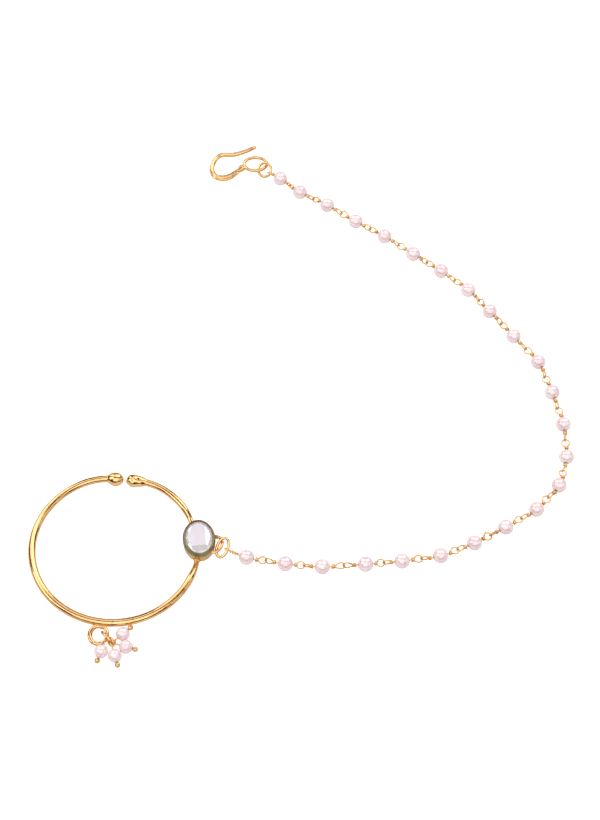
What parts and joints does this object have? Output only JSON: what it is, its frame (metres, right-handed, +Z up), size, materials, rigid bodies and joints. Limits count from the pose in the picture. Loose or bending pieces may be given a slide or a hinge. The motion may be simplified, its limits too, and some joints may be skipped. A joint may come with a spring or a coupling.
{
  "type": "nath nose ring with pearl chain and hair hook",
  "caption": "Large open nose ring with knobbed ends, oval stone setting, pearl drops, and a wire-linked pearl chain that ends in a hair hook, lying flat.",
  "frame": {"origin": "centre of the setting's flat back, which rests on the surface", "axes": "+Z up from the surface the jewel lies on, +Y from the drops towards the hook, +X from the hoop along the first stretch of chain"},
  "size_m": [0.1111, 0.1319, 0.0033],
  "materials": {
    "gold": "polished yellow gold plate with darker tone in the recesses",
    "pearl": "pale pink pearl with a soft lustre",
    "stone": "clear cut glass on a bright foil, with a faint lavender tone"
  },
  "bodies": {
    "root": {"hoop_frame": "gold", "stone": "stone", "chain_ring": "gold", "chain_wire": "gold", "hook": "gold", "hook_ring": "gold", "drop_jump_ring": "gold", "drop_pin_1": "gold", "drop_pin_2": "gold", "drop_pin_3": "gold", "drop_pin_4": "gold", "drop_pearl_1": "pearl", "drop_pearl_2": "pearl", "drop_pearl_3": "pearl", "drop_pearl_4": "pearl", "chain_pearl_01": "pearl", "chain_pearl_02": "pearl", "chain_pearl_03": "pearl", "chain_pearl_04": "pearl", "chain_pearl_05": "pearl", "chain_pearl_06": "pearl", "chain_pearl_07": "pearl", "chain_pearl_08": "pearl", "chain_pearl_09": "pearl", "chain_pearl_10": "pearl", "chain_pearl_11": "pearl", "chain_pearl_12": "pearl", "chain_pearl_13": "pearl", "chain_pearl_14": "pearl", "chain_pearl_15": "pearl", "chain_pearl_16": "pearl", "chain_pearl_17": "pearl", "chain_pearl_18": "pearl", "chain_pearl_19": "pearl", "chain_pearl_20": "pearl", "chain_pearl_21": "pearl", "chain_pearl_22": "pearl", "chain_pearl_23": "pearl", "chain_pearl_24": "pearl"}
  },
  "joints": []
}
